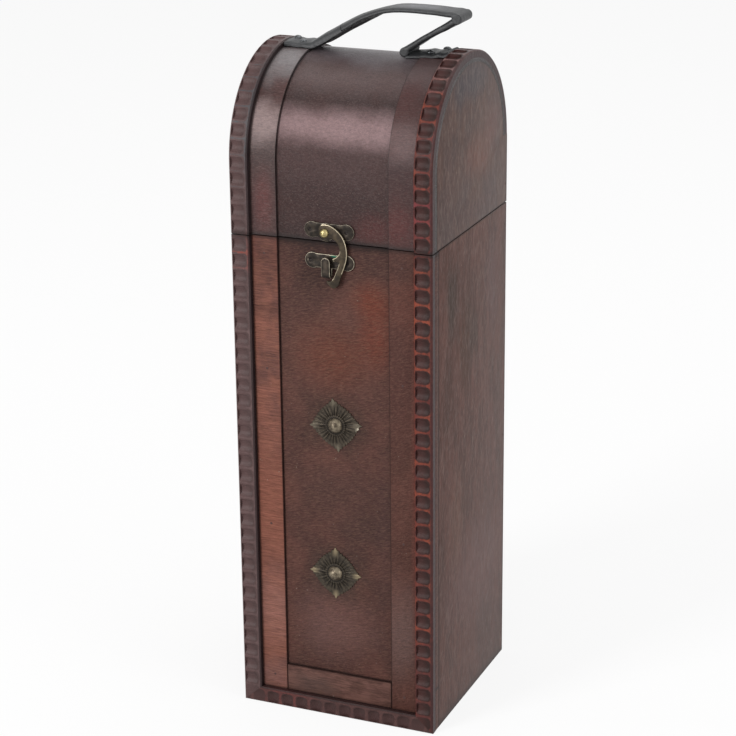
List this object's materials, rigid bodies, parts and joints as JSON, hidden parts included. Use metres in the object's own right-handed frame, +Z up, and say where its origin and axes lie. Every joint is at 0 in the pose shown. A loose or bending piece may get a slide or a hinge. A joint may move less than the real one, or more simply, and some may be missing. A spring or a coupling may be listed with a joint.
{
  "type": "wooden wine box",
  "caption": "Tall wooden wine box with a domed hinged lid, carved coin mouldings, a brass swing latch and a folding leather handle.",
  "frame": {"origin": "middle of the base, on the surface the box stands on", "axes": "+X to the right, +Y to the back with the hinges, +Z up; the latch faces -Y"},
  "size_m": [0.11, 0.112, 0.3762],
  "materials": {
    "bare_board": "sawn boards inside, unpolished",
    "stained_front": "reddish-brown stain, rubbed, satin",
    "stained_sides": "grey-brown stain, streaked upright, satin",
    "left_mouldings": "dark stain with worn red rims round the carved coins",
    "right_mouldings": "dark stain with bright worn red rims round the carved coins",
    "flat_strips": "orange-brown stain, satin",
    "antique_brass": "antiqued, dark with rubbed bright edges",
    "bright_brass": "worn brass, brighter on the domes",
    "hinge_brass": "dull brass",
    "nail_steel": "dark nail heads",
    "handle_leather": "black-grey leather, creased, low sheen"
  },
  "bodies": {
    "carcass": {"bottom_board": "bare_board", "front_board": "stained_front", "back_board": "stained_sides", "left_side_board": "stained_sides", "right_side_board": "stained_sides", "left_coin_moulding": "left_mouldings", "right_coin_moulding": "right_mouldings", "foot_coin_moulding": "left_mouldings", "left_flat_strip": "flat_strips", "right_flat_strip": "flat_strips", "foot_flat_strip": "flat_strips", "upper_rosette": "antique_brass", "lower_rosette": "antique_brass", "rosette_nails": "bright_brass", "catch_plate": "antique_brass", "catch_plate_nails": "nail_steel", "left_hinge_carcass_leaf": "hinge_brass", "right_hinge_carcass_leaf": "hinge_brass", "hinge_pins": "hinge_brass", "carcass_leaf_nails": "nail_steel", "carcass_brads": "nail_steel"},
    "lid": {"lid_left_end": "stained_sides", "lid_right_end": "stained_sides", "lid_front_rail": "bare_board", "lid_back_rail": "stained_sides", "lid_skin": "stained_front", "lid_left_coin_moulding": "left_mouldings", "lid_right_coin_moulding": "right_mouldings", "lid_left_flat_strip": "flat_strips", "lid_right_flat_strip": "flat_strips", "latch_plate": "antique_brass", "latch_plate_nails": "nail_steel", "latch_rivet": "bright_brass", "left_hinge_lid_leaf": "hinge_brass", "right_hinge_lid_leaf": "hinge_brass", "lid_leaf_nails": "nail_steel", "lid_brads": "nail_steel", "handle_left_tab": "handle_leather", "handle_right_tab": "handle_leather", "handle_tab_nails": "nail_steel"},
    "hook": {"latch_hook": "antique_brass"},
    "handle_left": {"handle_left_riser": "handle_leather"},
    "handle_grip": {"handle_grip": "handle_leather"},
    "handle_right": {"handle_right_riser": "handle_leather"}
  },
  "joints": [
    {"name": "lid_hinge", "type": "hinge", "parent": "carcass", "child": "lid", "pos_m": [0, 0.0558, 0.264], "axis": [-1, 0, 0], "range_deg": [0, 175]},
    {"name": "hook_swing", "type": "hinge", "parent": "lid", "child": "hook", "pos_m": [-0.0036, -0.0519, 0.2691], "axis": [0, -1, 0], "range_deg": [-3, 150]},
    {"name": "handle_fold", "type": "hinge", "parent": "lid", "child": "handle_left", "pos_m": [-0.028, 0, 0.3537], "axis": [0, -1, 0], "range_deg": [-21, 131]},
    {"name": "handle_fold_right", "type": "hinge", "parent": "lid", "child": "handle_right", "pos_m": [0.0217, 0, 0.3537], "axis": [0, -1, 0], "range_deg": [-21, 131]},
    {"name": "grip_level", "type": "hinge", "parent": "handle_left", "child": "handle_grip", "pos_m": [-0.00017, 0, 0.37143], "axis": [0, -1, 0], "range_deg": [-131, 21]}
  ],
  "couplings": [
    {"joint": "handle_fold_right", "follows": "handle_fold", "ratio": 1},
    {"joint": "grip_level", "follows": "handle_fold", "ratio": -1}
  ]
}
